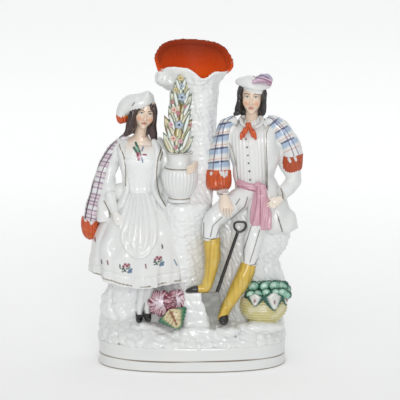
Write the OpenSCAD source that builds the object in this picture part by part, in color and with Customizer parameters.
// Figure-group spill vase in glazed earthenware: a hollow tree trunk that holds
// spills, a lady with a flower urn and a gardener with a spade, on an oval plinth.
// Millimetres. +Z up, the front faces -Y, origin under the middle of the plinth.

/* [Plinth and ground] */
// Width of the oval plinth
plinth_w = 189; // [176:1:204]
// Depth of the oval plinth
plinth_d = 100; // [92:1:112]
// Height of the plinth wall
plinth_h = 25; // [18:1:34]
// Wall of the plinth shell
plinth_wall = 6; // [4:0.5:9]
// Thickness of the slab that closes the plinth underneath
slab_t = 5; // [3:0.5:9]
// Radius of the kiln vent hole through the slab
vent_r = 4; // [2:0.5:7]
// Height of the rocky bank above the plinth
bank_h = 19; // [14:1:26]
// Wall of the hollow rock, stump and skirt
shell_wall = 7; // [5:0.5:9]

/* [Trunk] */
// Height of the trunk from the ground to the back of its rim
trunk_h = 279; // [262:1:300]
// Half width of the trunk where it is slimmest
trunk_r = 23; // [20:0.5:26]
// Width of the spill mouth over its lips
mouth_w = 80; // [70:1:90]
// Depth of the spill mouth over its lips
mouth_d = 58; // [50:1:64]
// How far the front lip lies below the back lip
rim_drop = 22; // [14:1:30]
// Wall of the trunk shell
trunk_wall = 5; // [4:0.5:7]
// Height of the ledge that carries the urn, above the ground
ledge_h = 124; // [116:1:132]
// Height of the spill well's floor above the ground
well_floor_h = 140; // [130:1:160]
// Thickness of the spill well's floor
well_floor_t = 5; // [3:0.5:8]
// Radius of the broken branch under the rim
stub_r = 8.5; // [6:0.5:11]

/* [Urn and bouquet] */
// Height of the urn
urn_h = 50; // [44:1:56]
// Radius of the urn at its belly
urn_r = 18; // [15:0.5:20]
// Radius of the urn's foot
urn_foot_r = 12; // [9:0.5:14]
// Radius of the urn's mouth
urn_mouth_r = 12.5; // [10:0.5:14]
// Height of the bouquet above the urn
bouquet_h = 78; // [66:1:86]
// Radius of the bouquet at its widest
bouquet_r = 13; // [10:0.5:15]
// Length of a bouquet leaf
bouquet_leaf_l = 17; // [13:0.5:20]
// Radius of a bouquet floret
floret_r = 3.6; // [2.6:0.2:4.6]

/* [Lady] */
// Place of the lady along the plinth
lady_x = -52; // [-58:1:-48]
// Height of the hem above the ground
lady_leg_h = 40; // [34:1:48]
// Height of the skirt from hem to waist
skirt_h = 92; // [84:1:100]
// Width of the skirt at its hem
hem_w = 101; // [92:1:108]
// Depth of the skirt at its hem
hem_d = 72; // [64:1:80]
// Width of the lady's waist
lady_waist_w = 26; // [22:1:32]
// Height of the bodice from waist to neck
bodice_h = 55; // [50:1:60]
// Width over the lady's shoulders
lady_shoulder_w = 40; // [36:1:46]
// Width of the lady's face
lady_face_w = 21.5; // [17:0.5:23]
// Height of the lady's head from chin to crown
lady_head_h = 35; // [31:0.5:38]
// Radius of the lady's sleeves
lady_sleeve_r = 6.5; // [5.5:0.25:8]
// Radius of the lady's legs
lady_leg_r = 4.4; // [3.4:0.2:5.4]
// Thickness of the lady's apron
apron_t = 2; // [1.2:0.2:3.4]
// Thickness of the lady's jacket over the bodice
jacket_t = 3; // [2:0.25:4.5]

/* [Gardener] */
// Place of the gardener along the plinth
man_x = 60; // [57:1:64]
// Height of the gardener's waist above the ground
man_leg_h = 138; // [132:1:146]
// Height of the gardener's chest from waist to neck
man_chest_h = 66; // [60:1:72]
// Width over the gardener's shoulders
man_shoulder_w = 46; // [42:1:52]
// Width of the gardener's waist
man_waist_w = 30; // [26:1:36]
// Thickness of the coat over the waistcoat
coat_t = 3.5; // [2.5:0.25:5]
// Width of the gardener's face
man_face_w = 21.5; // [17:0.5:23]
// Height of the gardener's head from chin to crown
man_head_h = 36; // [32:0.5:39]
// Radius of the gardener's sleeves
man_sleeve_r = 7.5; // [6:0.25:9]
// Radius of the gardener's thighs
thigh_r = 11.5; // [10:0.5:13]
// Radius of the gardener's boots at the calf
boot_r = 9; // [7.5:0.5:10.5]
// Thickness of the sash
sash_t = 3; // [2:0.25:4.5]
// Width of the cap over its crown
man_cap_w = 36; // [31:1:41]

/* [Spade, basket and flowers] */
// Length of the spade's shaft
shaft_l = 66; // [58:1:74]
// Radius of the spade's shaft
shaft_r = 1.9; // [1.4:0.1:2.8]
// Width of the spade's blade
blade_w = 18; // [14:0.5:22]
// Height of the spade's blade
blade_h = 24; // [20:0.5:28]
// Thickness of the spade's blade
blade_t = 4; // [2.5:0.25:6]
// Width of the basket
basket_w = 47; // [40:1:52]
// Height of the basket
basket_h = 25; // [20:1:30]
// Radius of a fruit in the basket
fruit_r = 5.6; // [4.6:0.2:6.8]
// Radius of the large flower at the lady's feet
bloom_r = 13; // [10:0.5:15]
// Width of the leaf under the large flower
bloom_leaf_w = 27; // [22:1:31]

/* [Hidden] */

// Enamel colours over the white glaze
glaze = [0.94, 0.94, 0.92];
skin_tint = [0.95, 0.84, 0.74];
orange_enamel = [0.80, 0.26, 0.08];
black_enamel = [0.06, 0.06, 0.06];
brown_enamel = [0.22, 0.14, 0.12];
ochre_enamel = [0.86, 0.66, 0.20];
pink_enamel = [0.80, 0.48, 0.60];
green_enamel = [0.38, 0.66, 0.54];
crimson_enamel = [0.52, 0.14, 0.24];
straw_enamel = [0.88, 0.84, 0.58];
grey_enamel = [0.58, 0.58, 0.57];

// Depth of the parting plane between the trunk's two pressings
seam_y = 8;
// How far a seated form reaches into what carries it, before it is trimmed there
seat = 4;
// Squareness of the plinth's oval, where 2 is an ellipse
oval_power = 2.5;

// Heights of the group, from the ground up
ground_z = plinth_h + bank_h;
rim_z = ground_z + trunk_h;
ledge_z = ground_z + ledge_h;
hem_z = ground_z + lady_leg_h;
lady_waist_z = hem_z + skirt_h;
lady_neck_z = lady_waist_z + bodice_h;
lady_chin_z = lady_neck_z + 7;
man_waist_z = ground_z + man_leg_h;
man_neck_z = man_waist_z + man_chest_h;
man_chin_z = man_neck_z + 7;
step_z = ground_z + 35;

// Depths of the group, from the front to the back
lady_y = -4;
man_y = -5;
urn_at = [-12, -17, ledge_z];
basket_at = [72, -20, ground_z];

// Points along the lady's arms
lady_right_shoulder = [lady_x - lady_shoulder_w / 2, lady_y, lady_neck_z - 8];
lady_right_elbow = [lady_x - 30, lady_y, lady_waist_z + 10];
lady_right_wrist = [lady_x - 24, lady_y - 21, lady_waist_z - 18];
lady_left_shoulder = [lady_x + lady_shoulder_w / 2, lady_y, lady_neck_z - 8];
lady_left_elbow = [lady_x + 26, lady_y, lady_waist_z + 12];

// Points along the gardener's limbs
man_right_shoulder = [man_x - man_shoulder_w / 2, man_y, man_neck_z - 9];
man_right_elbow = [man_x - 31, man_y - 2, man_waist_z + 12];
man_right_wrist = [man_x - 28, man_y - 24, man_waist_z - 8];
man_left_shoulder = [man_x + man_shoulder_w / 2, man_y, man_neck_z - 9];
man_left_elbow = [man_x + 42, man_y, man_waist_z + 8];
man_left_wrist = [man_x + 28, man_y - 17, man_waist_z - 6];
right_hip = [man_x - 6, man_y - 4, man_waist_z - 10];
right_knee = [man_x - 44, man_y - 28, man_waist_z - 32];
right_ankle = [man_x - 46, man_y - 28, step_z + 9];
left_hip = [man_x + 7, man_y - 4, man_waist_z - 10];
left_knee = [man_x + 1, man_y - 25, man_waist_z - 62];
left_ankle = [man_x - 23, man_y - 28, ground_z + 16];

// Spade, leaning from the step up towards the gardener's knees
blade_at = [man_x - 42, -36, ground_z + 11.5];
shaft_foot = blade_at + [blade_w / 3, 2, blade_h - 1];
shaft_lean = [0.327, 0.03, 0.945];

// Curves and skins

// A point between p1 and p2 on the smooth curve through four stations
function between(p0, p1, p2, p3, t) =
  0.5 * (2 * p1 + (p2 - p0) * t + (2 * p0 - 5 * p1 + 4 * p2 - p3) * t * t
  + (3 * p1 - p0 - 3 * p2 + p3) * t * t * t);

// The stations with smooth steps put between them
function smooth(list, steps) = concat(
  [for (i = [0:len(list) - 2], j = [0:steps - 1])
    between(list[max(i - 1, 0)], list[i], list[i + 1], list[min(i + 2, len(list) - 1)], j / steps)],
  [list[len(list) - 1]]
);

function unit(v) = v / norm(v);
function place(s) = [s[0], s[1], s[2]];
function station(p, half_w, half_d) = [p[0], p[1], p[2], half_w, half_d];
function bent(c, power) = sign(c) * pow(abs(c), 2 / power);

// One ring of a skin, square to the way the stations run, with its width across the view
function ring(list, i, sides, folds, fold_depth) =
  let (
    last = len(list) - 1,
    along = unit(place(list[min(i + 1, last)]) - place(list[max(i - 1, 0)])),
    across = unit(cross([0, 1, 0], along)),
    inward = cross(along, across),
    depth = fold_depth[0] + (fold_depth[1] - fold_depth[0]) * i / last
  )
  [for (k = [0:sides - 1])
    let (a = 360 * k / sides, swell = 1 + depth * cos(folds * a))
    place(list[i]) + across * list[i][3] * swell * cos(a) + inward * list[i][4] * swell * sin(a)];

// The faces of a tube of rings, closed at both ends
function tube_faces(rings, sides) = concat(
  [for (k = [0:rings - 2], i = [0:sides - 1]) each [
    [k * sides + i, (k + 1) * sides + i, (k + 1) * sides + (i + 1) % sides],
    [k * sides + i, (k + 1) * sides + (i + 1) % sides, k * sides + (i + 1) % sides]]],
  [[for (i = [0:sides - 1]) i]],
  [[for (i = [sides - 1:-1:0]) (rings - 1) * sides + i]]
);

// A closed skin over stations of [x, y, z, half width, half depth]
module body(stations, sides = 16, steps = 3, folds = 0, fold_depth = [0, 0]) {
  list = smooth(stations, steps);
  polyhedron(
    points = [for (i = [0:len(list) - 1]) each ring(list, i, sides, folds, fold_depth)],
    faces = tube_faces(len(list), sides)
  );
}

// A rounded lump, wide, deep and tall as given, standing at its middle
module lump(at, half_w, half_d, half_h, sides = 14) {
  body([for (a = [-80:32:80])
    station(at + [0, 0, half_h * sin(a)], half_w * cos(a), half_d * cos(a))], sides, 1);
}

function oval(w, d, points = 72) = [for (i = [0:points - 1])
  let (a = 360 * i / points)
  [w / 2 * bent(cos(a), oval_power), d / 2 * bent(sin(a), oval_power)]];

// Plinth and ground

module plinth() {
  color(glaze)
    linear_extrude(plinth_h)
      difference() {
        polygon(oval(plinth_w, plinth_d));
        polygon(oval(plinth_w - 2 * plinth_wall, plinth_d - 2 * plinth_wall));
      }
}

module floor_slab() {
  vent_at = [plinth_w / 4, 0, 0];
  color(glaze)
    difference() {
      linear_extrude(slab_t)
        polygon(oval(plinth_w - 2 * plinth_wall, plinth_d - 2 * plinth_wall));
      translate(vent_at - [0, 0, 1])
        cylinder(r = vent_r, h = slab_t + 2, $fn = 48);
    }
}

// The bank falls from the figures' feet to the front edge of the plinth
module bank_form(inset = 0) {
  sides = 40;
  front_fall = 22;
  crown_w = plinth_w - 4;
  crown_d = plinth_d - front_fall;
  sizes = [[plinth_w, plinth_d, 0, 0], [plinth_w - 1, plinth_d - 3, 1, 0.3],
    [crown_w + 1, crown_d + 8, front_fall / 2 - 4, 0.75], [crown_w, crown_d, front_fall / 2, 1]];
  rings = [for (s = sizes, i = [0:sides - 1])
    let (a = 360 * i / sides)
    [(s[0] / 2 - inset) * bent(cos(a), oval_power),
     s[2] + (s[1] / 2 - inset) * bent(sin(a), oval_power),
     plinth_h + s[3] * (bank_h - inset)]];
  polyhedron(points = rings, faces = tube_faces(len(sizes), sides));
}

module rocky_bank() {
  color(glaze)
    difference() {
      bank_form();
      bank_form(plinth_wall);
    }
}

module step_form() {
  body([
    [4, -28, ground_z - bank_h + seat, 20, 17], [4, -28, ground_z, 19, 16],
    [4, -27, ground_z + 12, 16, 15], [1, -27, step_z - 8, 10.5, 14], [1, -27, step_z, 9.5, 12.5]
  ], 14, 2);
}

module foot_step() {
  color(glaze)
    difference() {
      step_form();
      bank_form();
      spade_blade_form();
    }
}

// The rock under the lady reaches to the bank's left end
pillar_half = plinth_w / 2 + lady_x - 3.5;
pillar_deep = plinth_d / 2 - 20;
pillar_y = plinth_d / 2 - 38;

module pillar_form() {
  body([
    [lady_x - 2, pillar_y - 4, ground_z - seat, pillar_half - 5, pillar_deep - 3],
    [lady_x - 2, pillar_y - 1, ground_z + 12, pillar_half - 1, pillar_deep - 2],
    [lady_x, pillar_y - 2, hem_z - 16, pillar_half - 3, pillar_deep - 4],
    [lady_x, pillar_y - 2, hem_z + seat, pillar_half - 2, pillar_deep - 4]
  ], 18, 2, 6, [0.05, 0.03]);
}

// Its hollow opens downwards, well inside the edge of the bank
module pillar_hollow() {
  w = shell_wall;
  body([
    [lady_x - 2, pillar_y, ground_z - 2 * seat, pillar_half - 2.5 * w, pillar_deep - 2.5 * w],
    [lady_x - 2, pillar_y, ground_z + w, pillar_half - 2 * w, pillar_deep - 2 * w],
    [lady_x, pillar_y - 2, hem_z - 16, pillar_half - 4 - w, pillar_deep - 5 - w],
    [lady_x, pillar_y - 2, hem_z + seat - w, pillar_half - 3 - w, pillar_deep - 5 - w]
  ], 18, 2);
}

module rock_pillar() {
  color(glaze)
    difference() {
      pillar_form();
      pillar_hollow();
      bank_form();
    }
}

// The stump behind the gardener reaches to the bank's right end
stump_half = plinth_w / 2 - man_x + 2.5;
stump_deep = plinth_d / 2 - 20;
stump_y = plinth_d / 2 - 36;

module stump_form() {
  body([
    [man_x - 5, stump_y - 4, ground_z - seat, stump_half - 6, stump_deep - 6],
    [man_x - 4, stump_y, ground_z + 24, stump_half - 2, stump_deep - 2],
    [man_x - 5, stump_y - 1, ground_z + 60, stump_half - 5, stump_deep - 3],
    [man_x - 5, stump_y - 2, ground_z + 84, stump_half - 1, stump_deep - 2],
    [man_x - 3, stump_y - 3, man_waist_z - 34, stump_half - 2, stump_deep - 4],
    [man_x - 2, stump_y - 4, man_waist_z - 14, stump_half - 15, stump_deep - 10]
  ], 42, 2, 14, [0.04, 0.035]);
}

// Its hollow opens downwards, well inside the edge of the bank
module stump_hollow() {
  w = shell_wall;
  body([
    [man_x - 6, stump_y, ground_z - 2 * seat, stump_half - 2.5 * w, stump_deep - 2.5 * w],
    [man_x - 6, stump_y, ground_z + w, stump_half - 2 * w, stump_deep - 2 * w],
    [man_x - 5, stump_y - 1, ground_z + 60, stump_half - 7 - w, stump_deep - 5 - w],
    [man_x - 5, stump_y - 2, ground_z + 84, stump_half - 4 - w, stump_deep - 4 - w],
    [man_x - 3, stump_y - 3, man_waist_z - 34 - w, stump_half - 5 - w, stump_deep - 6 - w],
    [man_x - 2, stump_y - 4, man_waist_z - 18 - w, stump_half - 17 - w, stump_deep - 12 - w]
  ], 20, 2);
}

module stump() {
  color(glaze)
    difference() {
      stump_form();
      stump_hollow();
      bank_form();
      step_form();
    }
}

// Trunk

// Height of the lip at an angle round the mouth: high behind, lower to the right, notched in front
function lip_z(a) =
  let (notch_at = 284, notch_w = 14, notch_depth = 6.6, side_drop = 2)
  rim_z - rim_drop * (1 - pow((1 + sin(a)) / 2, 2)) - side_drop * cos(a)
  - notch_depth * exp(-pow((a - notch_at) / notch_w, 2));

trunk_sides = 40;
trunk_stations = smooth([
  [-2, 8, ground_z - seat, trunk_r + 15, 30], [-5, 5, ground_z + 40, trunk_r + 7, 30],
  [-7, 2, ledge_z - 36, trunk_r + 4, 32], [-7, 0, ledge_z - 6, trunk_r + 5, 34],
  [-4, 4, ledge_z + 2, trunk_r + 3, 27], [0, seam_y, ledge_z + 18, trunk_r + 1, 23],
  [1, seam_y, ledge_z + 74, trunk_r, 22], [2, seam_y, rim_z - rim_drop - 28, trunk_r + 1, 22]
], 2);
mouth_at = [2, seam_y - 1];

// The trunk's outside, or its hollow when drawn in by the wall and carried past the lip
module trunk_form(inset = 0, over_lip = 0) {
  sides = trunk_sides;
  bark = 0.05;
  low = [for (s = trunk_stations, i = [0:sides - 1])
    let (a = 360 * i / sides, swell = 1 + bark * cos(5 * a + s[2]))
    [s[0] + (s[3] * swell - inset) * cos(a), s[1] + (s[4] * swell - inset) * sin(a),
     s[2] + (inset > 0 ? seat + inset : 0)]];
  flare = [for (t = [0.45, 0.8, 1], i = [0:sides - 1])
    let (
      a = 360 * i / sides,
      neck = trunk_stations[len(trunk_stations) - 1],
      open = t * t,
      z = neck[2] + (lip_z(a) - neck[2]) * t + (t == 1 ? over_lip : 0)
    )
    [mouth_at[0] + ((neck[3] + (mouth_w / 2 - neck[3]) * open) - inset) * cos(a),
     mouth_at[1] + ((neck[4] + (mouth_d / 2 - neck[4]) * open) - inset) * sin(a), z]];
  points = concat(low, flare);
  rings = len(points) / sides;
  top = [mouth_at[0], mouth_at[1], lip_z(180) + over_lip];
  polyhedron(
    points = concat(points, [top]),
    faces = concat(
      [for (f = tube_faces(rings, sides)) if (len(f) == 3) f],
      [[for (i = [0:sides - 1]) i]],
      [for (i = [0:sides - 1])
        [len(points), (rings - 1) * sides + (i + 1) % sides, (rings - 1) * sides + i]]
    )
  );
}

module trunk_shell() {
  difference() {
    trunk_form();
    trunk_form(trunk_wall, 30);
    bank_form();
    step_form();
    pillar_form();
    stump_form();
  }
}

// One pressing of the trunk: side -1 is in front of the seam, 1 behind it
module trunk_half(side) {
  span = 2 * plinth_w;
  color(glaze)
    intersection() {
      trunk_shell();
      translate([-span / 2, side < 0 ? seam_y - span : seam_y, 0])
        cube([span, span, rim_z + 1]);
    }
}

module trunk_front() trunk_half(-1);
module trunk_back() trunk_half(1);

module well_floor() {
  span = 2 * plinth_w;
  color(glaze)
    intersection() {
      trunk_form(trunk_wall, 30);
      translate([-span / 2, -span / 2, ground_z + well_floor_h])
        cube([span, span, well_floor_t]);
    }
}

module stub_form() {
  root = [-trunk_r + 5, seam_y - 4, rim_z - rim_drop - 8];
  body([
    station(root, stub_r - 1, stub_r + 2), station(root + [-9, -4, -2], stub_r, stub_r + 1),
    station(root + [-14, -7, -5], stub_r - 1, stub_r - 1),
    station(root + [-17, -8, -6], stub_r - 4, stub_r - 4)
  ], 14, 2);
}

module branch_stub() {
  color(glaze)
    difference() {
      stub_form();
      trunk_form();
    }
}

// Urn and bouquet

module urn_form() {
  neck_r = urn_mouth_r - 1.5;
  translate(urn_at - [0, 0, seat])
    rotate_extrude($fn = 64)
      polygon([
        [0, 0], [urn_foot_r, 0], [urn_foot_r, seat + 2], [urn_foot_r - 1, seat + 4],
        [urn_r - 3, seat + 12], [urn_r, seat + 23], [urn_r - 0.5, seat + 31],
        [urn_r - 3.5, seat + 35], [neck_r, seat + 37], [neck_r, seat + urn_h - 5],
        [urn_mouth_r, seat + urn_h - 2], [urn_mouth_r, seat + urn_h], [0, seat + urn_h]
      ]);
}

module urn() {
  color(glaze)
    difference() {
      urn_form();
      trunk_form();
      jacket_form();
      skirt_form();
    }
}

module bouquet_core_form() {
  foot = urn_at + [0, 0, urn_h];
  body([
    station(foot, urn_mouth_r - 3, urn_mouth_r - 3),
    station(foot + [0, 0, bouquet_h * 0.2], bouquet_r, bouquet_r - 2),
    station(foot + [1, 2, bouquet_h * 0.5], bouquet_r - 3, bouquet_r - 4),
    station(foot + [3, 4, bouquet_h * 0.8], bouquet_r - 7, bouquet_r - 7),
    station(foot + [3, 5, bouquet_h], 2, 2)
  ], 12, 2);
}

// Leaves in tiers up the bouquet, each rising and leaning out
bouquet_tiers = 5;
leaves_a_tier = 4;

function tier_at(tier) = urn_at + [0.6 * tier, tier, urn_h + bouquet_h * (0.02 + 0.19 * tier)];
function tier_r(tier) = bouquet_r - 2 * tier;

module bouquet_leaf(tier, k) {
  turn = -160 + 140 * k / (leaves_a_tier - 1);
  out = [cos(turn), sin(turn), 0];
  root = tier_at(tier) + out * (tier_r(tier) - 3);
  tip = root + out * (bouquet_leaf_l * 0.3) + [0, 0, bouquet_leaf_l];
  middle = (root + tip) / 2 + out * 2;
  body([station(root, 1.6, 1.4), station(middle, 3, 1.6), station(tip, 0.8, 0.8)], 6, 2);
}

module bouquet_leaves() {
  color(green_enamel)
    difference() {
      union() {
        bouquet_core_form();
        for (tier = [0:bouquet_tiers - 2], k = [0:leaves_a_tier - 1]) bouquet_leaf(tier, k);
      }
      urn_form();
      trunk_form();
      stub_form();
    }
}

// Florets stand between the tiers of leaves, facing the front
module bouquet_florets() {
  color([0.75, 0.80, 0.88])
    difference() {
      for (tier = [0:bouquet_tiers - 1], side = [-1, 1])
        let (at = tier_at(tier) + [side * (tier_r(tier) * 0.42), -tier_r(tier) - 0.5, 7])
        lump(at, floret_r, floret_r, floret_r, 10);
      bouquet_core_form();
      for (tier = [0:bouquet_tiers - 2], k = [0:leaves_a_tier - 1]) bouquet_leaf(tier, k);
      urn_form();
      trunk_form();
    }
}

// Lady

module skirt_form(over = 0) {
  spread = function (t) 1 - t * t * t;
  lip = 3;
  body(concat(
    [[lady_x, lady_y, hem_z - over, hem_w / 2 - lip, hem_d / 2 - lip]],
    [for (t = [0.04:0.16:0.9])
      let (half_w = lady_waist_w / 2 + (hem_w - lady_waist_w) / 2 * spread(t),
           half_d = 10.5 + (hem_d / 2 - 10.5) * spread(t))
      [lady_x, lady_y - 2 * t, hem_z + skirt_h * t, half_w + over, half_d + over]],
    [[lady_x, lady_y - 2, lady_waist_z + over, lady_waist_w / 2 + over, 10.5 + over]]
  ), 36, 1, 9, [0.035, 0]);
}

// The skirt's hollow opens on to the top of the rock
module skirt_hollow() {
  w = shell_wall;
  body([
    [lady_x, 6, hem_z - seat, 37 - w, 24 - w], [lady_x, 4, hem_z + 12, 38 - w, 26 - w],
    [lady_x, -2, hem_z + skirt_h * 0.45, 36 - w, 26 - w],
    [lady_x, -4, hem_z + skirt_h * 0.75, 22 - w, 18 - w]
  ], 18, 2);
}

module lady_skirt() {
  color(glaze)
    difference() {
      skirt_form();
      skirt_hollow();
      pillar_form();
      trunk_form();
    }
}

// The apron lies on the front of the skirt, gathered at the waist and rounded below
module apron_outline() {
  drop = 66;
  half_w = 20;
  polygon([for (a = [0:15:345])
    let (low = sin(a) < 0)
    [lady_x + (low ? half_w : half_w * 0.92) * cos(a),
     lady_waist_z - drop * 0.5 + drop * 0.5 * sin(a)]]);
}

module apron_form() {
  intersection() {
    skirt_form(apron_t);
    rotate([90, 0, 0]) linear_extrude(plinth_d) apron_outline();
    translate([lady_x - hem_w / 2, -plinth_d, hem_z]) cube([hem_w, plinth_d - 10, skirt_h]);
  }
}

module lady_apron() {
  color(glaze)
    difference() {
      apron_form();
      skirt_form();
      bodice_form();
      trunk_form();
    }
}

module bodice_form() {
  half = lady_waist_w / 2;
  body([
    [lady_x, lady_y - 2, lady_waist_z - seat, half - 1, 10.5],
    [lady_x, lady_y - 2, lady_waist_z + 8, half, 10.5],
    [lady_x + 0.5, lady_y - 4, lady_waist_z + 26, half + 3.5, 12.5],
    [lady_x + 1, lady_y - 4, lady_waist_z + 36, lady_shoulder_w / 2 - 1.5, 12.5],
    [lady_x + 1, lady_y - 1, lady_neck_z - 9, lady_shoulder_w / 2 - 1, 10],
    [lady_x + 2, lady_y - 2, lady_neck_z - 2, 10, 8], [lady_x + 3, lady_y - 3, lady_neck_z + 2, 6, 6.5]
  ], 18, 2);
}

module lady_bodice() {
  color(glaze)
    difference() {
      bodice_form();
      skirt_form();
      trunk_form();
    }
}

// The jacket lies open over the bodice, its right edge trailing on to the skirt
module jacket_form() {
  neck = lady_neck_z - 5;
  for (side = [-1, 1]) {
    edge = side < 0 ? 12 : 17;
    body([
      [lady_x + side * 12, lady_y, neck + 1, 4, 8],
      [lady_x + side * (lady_shoulder_w / 2 - 3), lady_y, neck - 8, 4 + jacket_t, 11 + jacket_t],
      [lady_x + side * (lady_waist_w / 2 + 3), lady_y - 2, neck - 26, 3 + jacket_t, 10 + jacket_t],
      [lady_x + side * (lady_waist_w / 2 + 1), lady_y - 2, lady_waist_z + 4, 1.5 + jacket_t, 9 + jacket_t],
      [lady_x + side * (edge + 5), lady_y - 4, lady_waist_z - 10, 2 + jacket_t, 12 + jacket_t],
      [lady_x + side * (edge + 13), lady_y - 5, lady_waist_z - 20, 1.5 + jacket_t, 9 + jacket_t]
    ], 14, 2);
  }
}

module lady_jacket() {
  color(glaze)
    difference() {
      jacket_form();
      bodice_form();
      skirt_form();
      apron_form();
      trunk_form();
    }
}

module shoe_form(toe, turn, half_w) {
  translate(toe)
    rotate([0, 0, turn])
      body([
        [0, -7, 1, half_w * 0.5, 1.5], [0, -4, 1.5, half_w, 2.5], [0, 1, 2.4, half_w, 3.4],
        [0, 5, 3, half_w * 0.8, 3.4]
      ], 10, 2);
}

feet_y = -plinth_d / 2 + 21;
lady_feet = [[lady_x + 3, feet_y, ground_z - 1], [lady_x + 11, feet_y - 1, ground_z]];

module lady_shoes_form() {
  for (i = [0, 1]) shoe_form(lady_feet[i], i == 0 ? -8 : 16, lady_leg_r - 0.8);
}

module lady_shoes() {
  color(black_enamel)
    difference() {
      lady_shoes_form();
      bank_form();
    }
}

module lady_legs_form() {
  for (foot = lady_feet)
    body([
      station(foot + [0, 3, 2], lady_leg_r - 1.6, lady_leg_r - 1),
      station(foot + [0, 4, 10], lady_leg_r - 1.2, lady_leg_r - 0.8),
      station(foot + [0.5, 7, 26], lady_leg_r, lady_leg_r + 0.6),
      station(foot + [0.5, 9, lady_leg_h + seat], lady_leg_r - 0.4, lady_leg_r + 0.4)
    ], 12, 2);
}

module lady_legs() {
  color(glaze)
    difference() {
      lady_legs_form();
      lady_shoes_form();
      bank_form();
      pillar_form();
      skirt_form();
    }
}

// A head on its neck, facing the front: chin to crown is head_h
module head_form(at, face_w, head_h) {
  half = face_w / 2;
  body([
    station(at + [0, 2, -12], half * 0.62, half * 0.66),
    station(at + [0, 2, -3], half * 0.58, half * 0.62),
    station(at + [0, 0, 1], half * 0.60, half * 0.85),
    station(at + [0, 0, head_h * 0.18], half * 0.82, half * 1.02),
    station(at + [0, 0.5, head_h * 0.42], half, half * 1.18),
    station(at + [0, 1, head_h * 0.70], half * 0.98, half * 1.22),
    station(at + [0, 1.5, head_h * 0.92], half * 0.62, half * 0.80),
    station(at + [0, 1.5, head_h], half * 0.2, half * 0.25)
  ], 16, 2);
  nose = at + [0, -half * 1.12, head_h * 0.40];
  body([
    station(nose + [0, 1.6, -2.6], 1.4, 2), station(nose + [0, 0, -1.4], 1.9, 2.4),
    station(nose + [0, 0.8, 4], 1, 1.8), station(nose + [0, 2, 6], 0.6, 1)
  ], 8, 1);
}

lady_head_at = [lady_x + 6, lady_y - 6, lady_chin_z];

module lady_head() {
  color(skin_tint)
    difference() {
      head_form(lady_head_at, lady_face_w, lady_head_h);
      bodice_form();
    }
}

module lady_hair_form() {
  half = lady_face_w / 2;
  at = lady_head_at + [0, 2, 0];
  lump(at + [0, 3, lady_head_h * 0.60], half + 2.4, half * 1.25, lady_head_h * 0.42);
  for (side = [-1, 1])
    body([
      station(at + [side * (half - 1), 0, lady_head_h * 0.72], 3, 6),
      station(at + [side * (half + 1.6), 1, lady_head_h * 0.36], 3.2, 6.5),
      station(at + [side * (half + 2.4), 2, 2], 3.6, 6),
      station(at + [side * (half + 3.6), 3, -6], 3, 4.6)
    ], 12, 2);
}

// The cutter that keeps the face clear of hair and cap
module face_window(at, face_w, head_h) {
  body([
    station(at + [0, -face_w, -10], face_w * 0.48, face_w),
    station(at + [0, -face_w, head_h * 0.36], face_w * 0.5, face_w),
    station(at + [0, -face_w, head_h * 0.74], face_w * 0.34, face_w),
    station(at + [0, -face_w, head_h * 0.8], face_w * 0.1, face_w)
  ], 14, 2);
}

module lady_hair() {
  color(brown_enamel)
    difference() {
      lady_hair_form();
      face_window(lady_head_at, lady_face_w, lady_head_h);
      head_form(lady_head_at, lady_face_w, lady_head_h);
      bodice_form();
      jacket_form();
    }
}

// A soft cap with its peak over the right brow and its bag falling to the left
module lady_cap_form() {
  half = lady_face_w / 2;
  top = lady_head_at + [0, 3, lady_head_h];
  body([
    station(top + [7.6, -5, -0.4], half * 0.58, 2),
    station(top + [5, -4, -1.6], half * 0.64, half - 2.6),
    station(top + [-1.6, -2, -5], half * 0.76, half + 3.6),
    station(top + [-10, -1, -7.4], half * 0.88, half + 3),
    station(top + [-17, 0.5, -10.8], half * 0.9, half + 0.4),
    station(top + [-22, 1.5, -16.4], half * 0.72, half - 2.2),
    station(top + [-23.8, 1.5, -21.2], half * 0.58, half - 3.2)
  ], 16, 2);
}

module lady_cap() {
  color(glaze)
    difference() {
      lady_cap_form();
      head_form(lady_head_at, lady_face_w, lady_head_h);
      lady_hair_form();
      face_window(lady_head_at, lady_face_w, lady_head_h);
    }
}

module cap_tassel() {
  root = lady_head_at + [-22.6, 4.5, lady_head_h - 21];
  color(orange_enamel)
    difference() {
      body([
        station(root + [0, 0, 3], 5.8, 7), station(root + [0, 0, -1], 6, 7),
        station(root + [1, 0, -6.5], 4.6, 5.4)
      ], 12, 2);
      lady_cap_form();
      lady_hair_form();
      head_form(lady_head_at, lady_face_w, lady_head_h);
      jacket_form();
    }
}

module lady_right_sleeve_form() {
  r = lady_sleeve_r;
  body([
    station(lady_right_shoulder + [4, 0, 4], r - 1, r + 1),
    station(lady_right_shoulder + [-4, 0, -10], r, r + 1),
    station(lady_right_elbow + [0, 0, 8], r, r + 0.5),
    station(lady_right_elbow + [-2, -4, -14], r + 1.4, r + 0.8),
    station(lady_right_elbow + [-4.4, -7, -30], r + 2.4, r + 1),
    station(lady_right_elbow + [-5, -8, -40], r + 1.6, r)
  ], 14, 2);
  body([
    station(lady_right_elbow + [0, -8, -12], r - 0.6, r - 0.6),
    station(lady_right_wrist + [-2, 4, 4], r - 1.8, r - 2), station(lady_right_wrist, r - 2.2, r - 2.4)
  ], 14, 2);
}

module lady_right_sleeve() {
  color(glaze)
    difference() {
      lady_right_sleeve_form();
      bodice_form();
      jacket_form();
      skirt_form();
      apron_form();
    }
}

module hand_form(wrist, reach, half_w, half_d) {
  body([
    station(wrist - reach * 0.15, half_w * 0.7, half_d * 0.8),
    station(wrist + reach * 0.25, half_w, half_d),
    station(wrist + reach * 0.65, half_w * 0.95, half_d * 0.8),
    station(wrist + reach, half_w * 0.5, half_d * 0.5)
  ], 12, 2);
}

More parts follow.
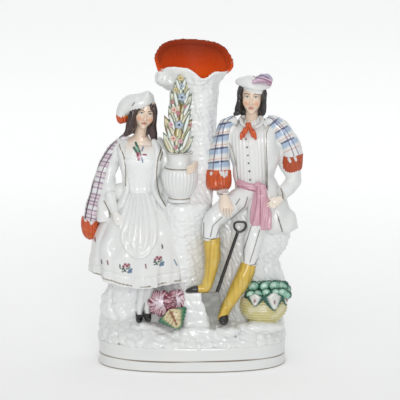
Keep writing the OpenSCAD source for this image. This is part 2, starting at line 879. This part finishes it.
module lady_right_hand() {
  color(skin_tint)
    difference() {
      hand_form(lady_right_wrist, [5, -5, -13], 4.4, 3.6);
      lady_right_sleeve_form();
      skirt_form();
      apron_form();
    }
}

module lady_left_sleeve_form() {
  r = lady_sleeve_r;
  body([
    station(lady_left_shoulder + [-4, 0, 4], r - 1, r + 1),
    station(lady_left_shoulder + [4, 0, -8], r, r + 1),
    station(lady_left_elbow + [0, -2, 10], r, r + 1), station(lady_left_elbow + [2, -4, -6], r, r + 0.4),
    station(lady_left_elbow + [4, -5, -24], r - 0.6, r)
  ], 14, 2);
  lump(lady_left_elbow + [-5, 2, -6], 7, 6, 14, 14);
}

module lady_left_sleeve() {
  color(glaze)
    difference() {
      lady_left_sleeve_form();
      bodice_form();
      jacket_form();
      skirt_form();
      urn_form();
      trunk_form();
    }
}

// Fingers laid round the urn's right shoulder
module lady_left_hand() {
  root = urn_at + [urn_mouth_r + 3, 0, 35];
  color(skin_tint)
    difference() {
      for (k = [0:3])
        body([
          station(root + [1, -8, 4 - 2.6 * k], 1.5, 2.4),
          station(root + [-2.5, -14.5, 3 - 2.6 * k], 1.5, 2.2),
          station(root + [-9.5, -19, 1.5 - 2.6 * k], 1.3, 1.6)
        ], 8, 2);
      urn_form();
      trunk_form();
    }
}

module lady_plaid_form() {
  body([
    station(lady_right_shoulder + [6, 5, 7], 4, 8), station(lady_right_shoulder + [-9, 3, -7], 6.5, 11),
    station(lady_right_elbow + [-6, 3, 18], 7, 11), station(lady_right_elbow + [-13, 2, -8], 7.5, 11),
    station(lady_right_elbow + [-18, 1, -38], 8.5, 10.5)
  ], 14, 2);
}

module lady_plaid() {
  color([0.88, 0.82, 0.84])
    difference() {
      lady_plaid_form();
      lady_right_sleeve_form();
      bodice_form();
      jacket_form();
      skirt_form();
      lady_hair_form();
    }
}

module lady_plaid_fringe() {
  root = lady_right_elbow + [-18, 1, -38];
  color(orange_enamel)
    difference() {
      body([
        station(root + [0, 0, 2], 8.4, 10), station(root + [0, 0, -4], 8.2, 9.5),
        station(root + [1, -1, -14], 6.5, 8), station(root + [3, -1, -20], 3, 5)
      ], 14, 2);
      lady_plaid_form();
      skirt_form();
    }
}

// Gardener

module waistcoat_form() {
  half = man_waist_w / 2;
  body([
    [man_x, man_y - 1, man_waist_z - 12, half + 1, 12.5],
    [man_x, man_y - 2, man_waist_z + 2, half, 12.5],
    [man_x, man_y - 3, man_waist_z + 24, half + 3, 13.5],
    [man_x, man_y - 3, man_waist_z + 44, man_shoulder_w / 2 - 3, 13.5],
    [man_x, man_y, man_neck_z - 9, man_shoulder_w / 2 - 3, 11],
    [man_x - 0.5, man_y - 1, man_neck_z - 1, 10, 8.5],
    [man_x - 1, man_y - 2, man_neck_z + 2, 7, 7]
  ], 18, 2);
}

module waistcoat() {
  color(glaze)
    difference() {
      waistcoat_form();
      stump_form();
      trunk_form();
    }
}

// The coat's front edges stand apart over the waistcoat
module coat_opening() {
  rotate([90, 0, 0])
    linear_extrude(plinth_d)
      polygon([
        [man_x - 10, man_waist_z - 60], [man_x - 13, man_waist_z + 4], [man_x - 10, man_neck_z - 22],
        [man_x - 3, man_neck_z + 8], [man_x + 3, man_neck_z + 8], [man_x + 11, man_neck_z - 22],
        [man_x + 13, man_waist_z + 4], [man_x + 14, man_waist_z - 60]
      ]);
}

module coat_form() {
  half = man_waist_w / 2;
  t = coat_t;
  body([
    [man_x + 15, man_y + 4, man_waist_z - 50, half + 16, 8 + t],
    [man_x + 13.5, man_y + 4, man_waist_z - 44, half + 16.5, 11 + t],
    [man_x + 9.5, man_y + 3, man_waist_z - 29, half + 13, 13 + t],
    [man_x + 3, man_y, man_waist_z - 8, half + 3 + t, 12 + t],
    [man_x, man_y - 2, man_waist_z + 6, half + t, 12.5 + t],
    [man_x, man_y - 3, man_waist_z + 26, half + 3 + t, 13.5 + t],
    [man_x, man_y - 2, man_waist_z + 46, man_shoulder_w / 2 - 2 + t, 13 + t],
    [man_x, man_y, man_neck_z - 8, man_shoulder_w / 2 - 3 + t, 11 + t],
    [man_x, man_y, man_neck_z, 11 + t, 8 + t]
  ], 20, 2);
}

module coat_shell() {
  difference() {
    coat_form();
    coat_opening();
  }
}

module coat() {
  color(glaze)
    difference() {
      coat_form();
      coat_opening();
      waistcoat_form();
      stump_form();
      trunk_form();
    }
}

button_count = 6;

module waistcoat_buttons() {
  button_r = 1.3;
  front = man_y - 15.5;
  color(grey_enamel)
    difference() {
      for (k = [0:button_count - 1])
        translate([man_x - 1, front - 0.3 * min(k, 4), man_waist_z + 10 + 8 * k])
          rotate([90, 0, 0])
            translate([0, 0, -2]) cylinder(r = button_r, h = 4, $fn = 24);
      waistcoat_form();
    }
}

man_head_at = [man_x - 1, man_y - 5, man_chin_z];

module man_head() {
  color(skin_tint)
    difference() {
      head_form(man_head_at, man_face_w, man_head_h);
      waistcoat_form();
    }
}

module collar_form() {
  for (side = [-1, 1])
    body([
      station(man_head_at + [side * 9, 6, -6], 3, 4),
      station(man_head_at + [side * 9.5, 0, -8], 2.6, 4),
      station(man_head_at + [side * 6, -7, -11], 2.6, 4),
      station(man_head_at + [side * 2.5, -9, -13], 1.8, 3)
    ], 10, 2);
}

module shirt_collar() {
  color(glaze)
    difference() {
      collar_form();
      head_form(man_head_at, man_face_w, man_head_h);
      waistcoat_form();
      coat_form();
    }
}

module neckerchief_form() {
  knot = man_head_at + [-3, -10, -14];
  lump(knot, 3.4, 3.4, 3);
  for (side = [-1, 1])
    body([
      station(knot + [0, 0, 1], 1.6, 2.4), station(knot + [side * 4, -1.5, -5], 3, 2.6),
      station(knot + [side * 8, -1, -13], 2.2, 2.6), station(knot + [side * 8.6, -1, -16], 1, 2)
    ], 10, 2);
}

module neckerchief() {
  color(orange_enamel)
    difference() {
      neckerchief_form();
      waistcoat_form();
      coat_shell();
      collar_form();
      head_form(man_head_at, man_face_w, man_head_h);
    }
}

module man_hair_form() {
  half = man_face_w / 2;
  at = man_head_at + [0, 2, 0];
  lump(at + [0, 3, man_head_h * 0.60], half + 2, half * 1.22, man_head_h * 0.40);
  for (side = [-1, 1])
    body([
      station(at + [side * (half - 0.6), 0, man_head_h * 0.76], 3, 6),
      station(at + [side * (half + 2), 1, man_head_h * 0.40], 3.2, 6.5),
      station(at + [side * (half + 2.4), 1, 4], 3.4, 6),
      station(at + [side * (half + 4.5), 1, -1], 2.6, 4.4)
    ], 12, 2);
}

module man_hair() {
  color(black_enamel)
    difference() {
      man_hair_form();
      face_window(man_head_at, man_face_w, man_head_h);
      head_form(man_head_at, man_face_w, man_head_h);
      coat_form();
      waistcoat_form();
    }
}

// A flat round cap, wide at the crown and drawn in to a band
module man_cap_form() {
  half = man_cap_w / 2;
  face = man_face_w / 2;
  lean = 7;
  translate(man_head_at + [1.4, 1, man_head_h * 0.78 + 0.6])
    rotate([0, lean, 0])
      body([
        [0, 0, -3, face + 0.8, face + 2.4], [0, 0, 0.2, face + 2.4, face + 3.8],
        [0, 0, 1.6, half - 1.4, half - 2.2], [0, 0, 2.8, half - 0.6, half - 1.8],
        [0, 0, 4.4, half - 1.8, half - 3.2], [0, 0, 6.6, half * 0.67, half * 0.63],
        [0, 0, 8.2, half * 0.22, half * 0.22]
      ], 20, 2);
}

module man_cap() {
  color(glaze)
    difference() {
      man_cap_form();
      head_form(man_head_at, man_face_w, man_head_h);
      man_hair_form();
    }
}

module cap_feather() {
  root = man_head_at + [-0.4, -12, man_head_h * 0.78 + 5];
  color(pink_enamel)
    difference() {
      body([
        station(root, 1, 1.6), station(root + [8, 0, 3], 3.8, 3), station(root + [15.6, 1.5, 2.8], 4.2, 3),
        station(root + [19.2, 3, 0.2], 3, 2.4), station(root + [20.4, 4, -2.6], 1.4, 1.4)
      ], 12, 2);
      man_cap_form();
      head_form(man_head_at, man_face_w, man_head_h);
    }
}

module man_right_sleeve_form() {
  r = man_sleeve_r;
  body([
    station(man_right_shoulder + [5, 0, 4], r - 1, r + 1),
    station(man_right_shoulder + [-3, 0, -12], r, r + 1),
    station(man_right_elbow + [0, 0, 6], r, r), station(man_right_elbow + [1, -2, -10], r - 1, r - 1),
    station(man_right_wrist + [0, 6, 0], r - 1.6, r - 2), station(man_right_wrist, r - 2, r - 2.6)
  ], 14, 2);
}

module man_right_sleeve() {
  color(glaze)
    difference() {
      man_right_sleeve_form();
      coat_form();
      trunk_form();
      stump_form();
      right_breeches_form();
    }
}

module man_right_hand() {
  color(skin_tint)
    difference() {
      hand_form(man_right_wrist + [0, -4, 0], [2, -13, -15], 6.6, 4);
      man_right_sleeve_form();
      right_breeches_form();
      coat_form();
      stump_form();
    }
}

module man_left_sleeve_form() {
  r = man_sleeve_r;
  body([
    station(man_left_shoulder + [-5, 0, 4], r - 1, r + 1),
    station(man_left_shoulder + [5, 0, -10], r + 1, r + 1),
    station(man_left_elbow + [-9, 4, 20], r + 2.5, r - 1),
    station(man_left_elbow + [-1, -3, 1], r + 0.5, r),
    station(man_left_elbow + [-6, -9, -9], r, r - 0.7), station(man_left_wrist + [1, 1, 0], r - 0.5, r - 2)
  ], 14, 2);
}

module man_left_sleeve() {
  color(glaze)
    difference() {
      man_left_sleeve_form();
      coat_form();
    }
}

module man_left_hand() {
  color(skin_tint)
    difference() {
      hand_form(man_left_wrist + [-0.6, -4, -4], [-12, -5, -7], 5, 3.6);
      man_left_sleeve_form();
      coat_form();
      waistcoat_form();
      sash_form();
      left_breeches_form();
    }
}

module right_plaid_form() {
  body([
    station(man_right_shoulder + [2, 4, 8], 4.5, 9), station(man_right_shoulder + [-4, 1, 3], 6.6, 12),
    station(man_right_shoulder + [-6.6, 0, -8], 7.4, 13), station(man_right_elbow + [-1.6, 2, 24], 9.2, 14),
    station(man_right_elbow + [-2.5, 1, 1], 12.2, 14)
  ], 16, 2);
}

module right_plaid() {
  color([0.80, 0.85, 0.90])
    difference() {
      right_plaid_form();
      man_right_sleeve_form();
      coat_form();
      trunk_form();
      man_hair_form();
    }
}

module right_plaid_fringe() {
  root = man_right_elbow + [-2.5, 1, 1];
  color(orange_enamel)
    difference() {
      body([
        station(root + [0, 0, 2], 11.5, 13), station(root + [0, -0.5, -5], 12.2, 13.4),
        station(root + [0, -1, -13], 11, 12), station(root + [0, -1, -16], 7, 9)
      ], 16, 2);
      right_plaid_form();
      man_right_sleeve_form();
      coat_form();
      trunk_form();
    }
}

module left_plaid_form() {
  body([
    station(man_left_shoulder + [-7, 4, 8], 5, 9), station(man_left_shoulder + [6, 1, -3], 10, 13),
    station(man_left_elbow + [-3, 2, 32], 10.5, 13), station(man_left_elbow + [-1.5, 2, 22], 10, 12.5)
  ], 16, 2);
}

module left_plaid() {
  color([0.80, 0.85, 0.90])
    difference() {
      left_plaid_form();
      man_left_sleeve_form();
      coat_form();
      man_hair_form();
    }
}

module left_plaid_fringe() {
  root = man_left_elbow + [-1.5, 2, 22];
  color(orange_enamel)
    difference() {
      body([
        station(root + [0, 0, 2], 9.4, 11.5), station(root + [-0.5, 0, -5], 10, 12),
        station(root + [-1, -1, -13], 9.4, 11), station(root + [-1, -1, -17], 6, 8)
      ], 16, 2);
      left_plaid_form();
      man_left_sleeve_form();
      coat_form();
    }
}

// A band across the front of the waist, with two tails hanging from its knot
module sash_form() {
  front = [man_x, man_y - 15, man_waist_z + 1];
  half_band = 4.5;
  body([
    station(front + [-14, 6, 1], half_band, sash_t), station(front + [-8, 1, 0.5], half_band, sash_t),
    station(front + [2, 0, 0], half_band, sash_t), station(front + [9, 1, 0], half_band, sash_t),
    station(front + [15, 6, 1], half_band, sash_t)
  ], 12, 2);
  for (side = [0, 1])
    body([
      station(front + [6 + 4 * side, -1.5, 2], 3.4, sash_t + 1),
      station(front + [5 + 6 * side, -5, -11], 4.8, sash_t + 1.4),
      station(front + [3.6 + 8.6 * side, -9.4, -25], 6, sash_t + 1.8),
      station(front + [3.4 + 9.8 * side, -12, -37 - 4 * side], 6, sash_t + 1)
    ], 12, 2);
}

module sash() {
  color(pink_enamel)
    difference() {
      sash_form();
      waistcoat_form();
      coat_shell();
      right_breeches_form();
      left_breeches_form();
    }
}

module right_breeches_form() {
  body([
    station(right_hip + [6, 0, 6], thigh_r, thigh_r),
    station(right_hip + [-8, -8, -4], thigh_r, thigh_r),
    station(right_knee + [13, 4, 9], thigh_r - 1, thigh_r - 1),
    station(right_knee + [3, 0, 1], thigh_r - 1.5, thigh_r - 2),
    station(right_knee + [0, -1, -9], boot_r, boot_r),
    station(right_knee + [0, -1, -15], boot_r - 0.5, boot_r - 0.5)
  ], 16, 2);
}

module right_breeches() {
  color(glaze)
    difference() {
      right_breeches_form();
      waistcoat_form();
      coat_form();
      stump_form();
      trunk_form();
    }
}

module left_breeches_form() {
  body([
    station(left_hip + [0, 0, 6], thigh_r + 1, thigh_r),
    station(left_hip + [-1, -8, -14], thigh_r, thigh_r),
    station(left_knee + [0, 2, 16], thigh_r - 1.5, thigh_r - 1.5),
    station(left_knee + [0, 0, 0], boot_r + 0.5, boot_r),
    station(left_knee + [-1, -1, -11], boot_r, boot_r - 0.5)
  ], 16, 2);
}

module left_breeches() {
  color(glaze)
    difference() {
      left_breeches_form();
      waistcoat_form();
      coat_form();
      stump_form();
      trunk_form();
      right_breeches_form();
    }
}

module right_boot_form() {
  cuff = right_knee + [0, -1, -15];
  body([
    station(cuff + [0, 0, 0.5], boot_r, boot_r), station(cuff + [0.5, 0, -12], boot_r + 0.4, boot_r),
    station((cuff + right_ankle) / 2 + [0.5, 0, -4], boot_r - 1.4, boot_r - 1),
    station(right_ankle + [0, 0, 3], boot_r - 3.6, boot_r - 3),
    station(right_ankle + [-1, 0, -9], boot_r - 3.2, boot_r - 3)
  ], 16, 2);
  body([
    station(right_ankle + [3, 0, -4], 5, 5),
    station(right_ankle + [-5, -1, -5], 4, 5),
    station(right_ankle + [-10, -2, -6], 3, 4.4)
  ], 12, 2);
}

module right_boot() {
  color(ochre_enamel)
    difference() {
      right_boot_form();
      right_breeches_form();
      step_form();
      stump_form();
      trunk_form();
    }
}

module left_boot_form() {
  cuff = left_knee + [-1, -1, -11];
  body([
    station(cuff + [0, 0, 0.5], boot_r + 0.5, boot_r),
    station(cuff + [-3, -1, -10], boot_r + 0.8, boot_r),
    station((cuff + left_ankle) / 2 + [1, 0, -2], boot_r - 0.6, boot_r - 1),
    station(left_ankle + [1, 0, 6], boot_r - 2.6, boot_r - 3),
    station(left_ankle + [-2, -2, -5], boot_r - 2.6, boot_r - 2.6),
    station(left_ankle + [-4, -5, -11], boot_r - 4, boot_r - 3.6)
  ], 16, 2);
}

module left_boot() {
  color(ochre_enamel)
    difference() {
      left_boot_form();
      left_breeches_form();
      bank_form();
      stump_form();
      step_form();
    }
}

module man_shoes_form() {
  body([
    station(right_ankle + [-8, -2, -5.6], 3.2, 4.6), station(right_ankle + [-13, -2.5, -6], 3.2, 4.6),
    station(right_ankle + [-18, -3, -7.4], 2, 3.2), station(right_ankle + [-20, -3, -8], 0.8, 1.6)
  ], 12, 2);
  body([
    station(left_ankle + [-3, -5, -7], 4, 4), station(left_ankle + [-5, -9, -10.5], 5.4, 4.4),
    station(left_ankle + [-6, -13, -13], 4.6, 3.4), station(left_ankle + [-6, -15, -14], 2, 1.6)
  ], 12, 2);
}

module man_shoes() {
  color(black_enamel)
    difference() {
      man_shoes_form();
      right_boot_form();
      left_boot_form();
      step_form();
      bank_form();
      skirt_form();
    }
}

// Spade

module spade_blade_form() {
  translate(blade_at - [blade_w / 2, blade_t / 2, 0])
    cube([blade_w, blade_t, blade_h]);
}

module spade_blade() {
  color(grey_enamel)
    difference() {
      spade_blade_form();
      bank_form();
      left_boot_form();
      right_boot_form();
      man_shoes_form();
    }
}

// Turns +Z to lie along a direction
module point_along(direction) {
  d = unit(direction);
  rotate([0, acos(d[2]), atan2(d[1], d[0])]) children();
}

module spade_shaft() {
  grip_r = 5;
  color(black_enamel)
    difference() {
      union() {
        translate(shaft_foot)
          point_along(shaft_lean) {
            cylinder(r = shaft_r, h = shaft_l, $fn = 24);
            translate([0, 0, shaft_l + grip_r - shaft_r / 2])
              rotate([90, 0, 0])
                rotate_extrude($fn = 40)
                  translate([grip_r, 0]) circle(r = shaft_r - 0.4, $fn = 20);
          }
        translate(shaft_foot) sphere(r = shaft_r + 0.8, $fn = 24);
      }
      spade_blade_form();
      left_boot_form();
      left_breeches_form();
      right_boot_form();
      right_breeches_form();
      stump_form();
      step_form();
    }
}

// Basket and fruit

basket_d = 34;

function basket_station(dz, grow) =
  station(basket_at + [0, 0, dz], basket_w / 2 + grow, basket_d / 2 + grow);

module basket_form() {
  body([
    basket_station(-seat, -6), basket_station(1, -4), basket_station(basket_h * 0.35, -0.6),
    basket_station(basket_h * 0.7, 0), basket_station(basket_h, -1.5)
  ], 22, 2);
}

module basket() {
  color(straw_enamel)
    difference() {
      basket_form();
      bank_form();
      stump_form();
      left_boot_form();
    }
}

module fruit_form() {
  rows = 3;
  for (row = [0:rows - 1], k = [0:4 - row % 2])
    let (count = 5 - row % 2, gap = (basket_w - 2 * fruit_r + 3) / 5)
    translate(basket_at
      + [(k - (count - 1) / 2) * gap, -basket_d / 2 + 6 + row * 6, basket_h + 1 + row * 5.5])
      sphere(r = fruit_r, $fn = 24);
}

module fruit_bed() {
  body([
    basket_station(basket_h - 1, -4), basket_station(basket_h + 6, -5),
    station(basket_at + [0, 4, basket_h + 14], basket_w / 2 - 7, basket_d / 2 - 8)
  ], 18, 2);
}

module basket_fruit() {
  color(green_enamel)
    difference() {
      union() {
        fruit_bed();
        fruit_form();
      }
      basket_form();
      stump_form();
      left_boot_form();
    }
}

// Pointed leaves hang over the front of the basket
module basket_leaf_form() {
  for (spot = [[-9, 13], [6, 18], [19, 14]])
    let (drop = spot[1], x = spot[0], y = -basket_d / 2 * sqrt(1 - pow(x / (basket_w / 2 + 2), 2)) - 0.5)
    translate(basket_at + [x, y, basket_h + 1])
      rotate([90, 0, 2 * x])
        translate([0, 0, -3])
          linear_extrude(5)
            polygon([[-8, 1], [-6, -drop * 0.45], [0, -drop], [6, -drop * 0.45], [8, 1], [3, 4], [-3, 4]]);
}

module basket_leaves() {
  color(green_enamel)
    difference() {
      basket_leaf_form();
      basket_form();
      fruit_bed();
      fruit_form();
      stump_form();
    }
}

// Large flower and its leaf at the lady's feet

bloom_at = [lady_x + 26, -28, ground_z + 23];

module bloom_form() {
  lump(bloom_at + [-5, -3, -1], bloom_r, bloom_r * 0.8, bloom_r, 16);
  lump(bloom_at + [10.6, -3, 2.4], bloom_r * 0.8, bloom_r * 0.75, bloom_r * 0.82, 14);
}

module bloom() {
  color(crimson_enamel)
    difference() {
      bloom_form();
      bank_form();
      pillar_form();
      trunk_form();
      skirt_form();
      step_form();
      lady_legs_form();
    }
}

module bloom_leaf() {
  half = bloom_leaf_w / 2;
  color(green_enamel)
    difference() {
      translate(bloom_at + [8, -5, -9])
        rotate([72, 0, 0])
          translate([0, 0, -3])
            linear_extrude(6)
              polygon([
                [-half, 2], [-half * 0.8, -6], [-half * 0.3, -12], [half * 0.5, -15],
                [half * 0.95, -6], [half, 4], [half * 0.4, 7], [-half * 0.4, 7]
              ]);
      bloom_form();
      bank_form();
      step_form();
      pillar_form();
    }
}

plinth();
floor_slab();
rocky_bank();
foot_step();
rock_pillar();
stump();
trunk_front();
trunk_back();
well_floor();
branch_stub();
urn();
bouquet_leaves();
bouquet_florets();
lady_skirt();
lady_apron();
lady_bodice();
lady_jacket();
lady_legs();
lady_shoes();
lady_head();
lady_hair();
lady_cap();
cap_tassel();
lady_right_sleeve();
lady_right_hand();
lady_left_sleeve();
lady_left_hand();
lady_plaid();
lady_plaid_fringe();
waistcoat();
coat();
waistcoat_buttons();
shirt_collar();
neckerchief();
sash();
man_head();
man_hair();
man_cap();
cap_feather();
man_right_sleeve();
man_right_hand();
man_left_sleeve();
man_left_hand();
right_plaid();
right_plaid_fringe();
left_plaid();
left_plaid_fringe();
right_breeches();
left_breeches();
right_boot();
left_boot();
man_shoes();
spade_shaft();
spade_blade();
basket();
basket_fruit();
basket_leaves();
bloom();
bloom_leaf();
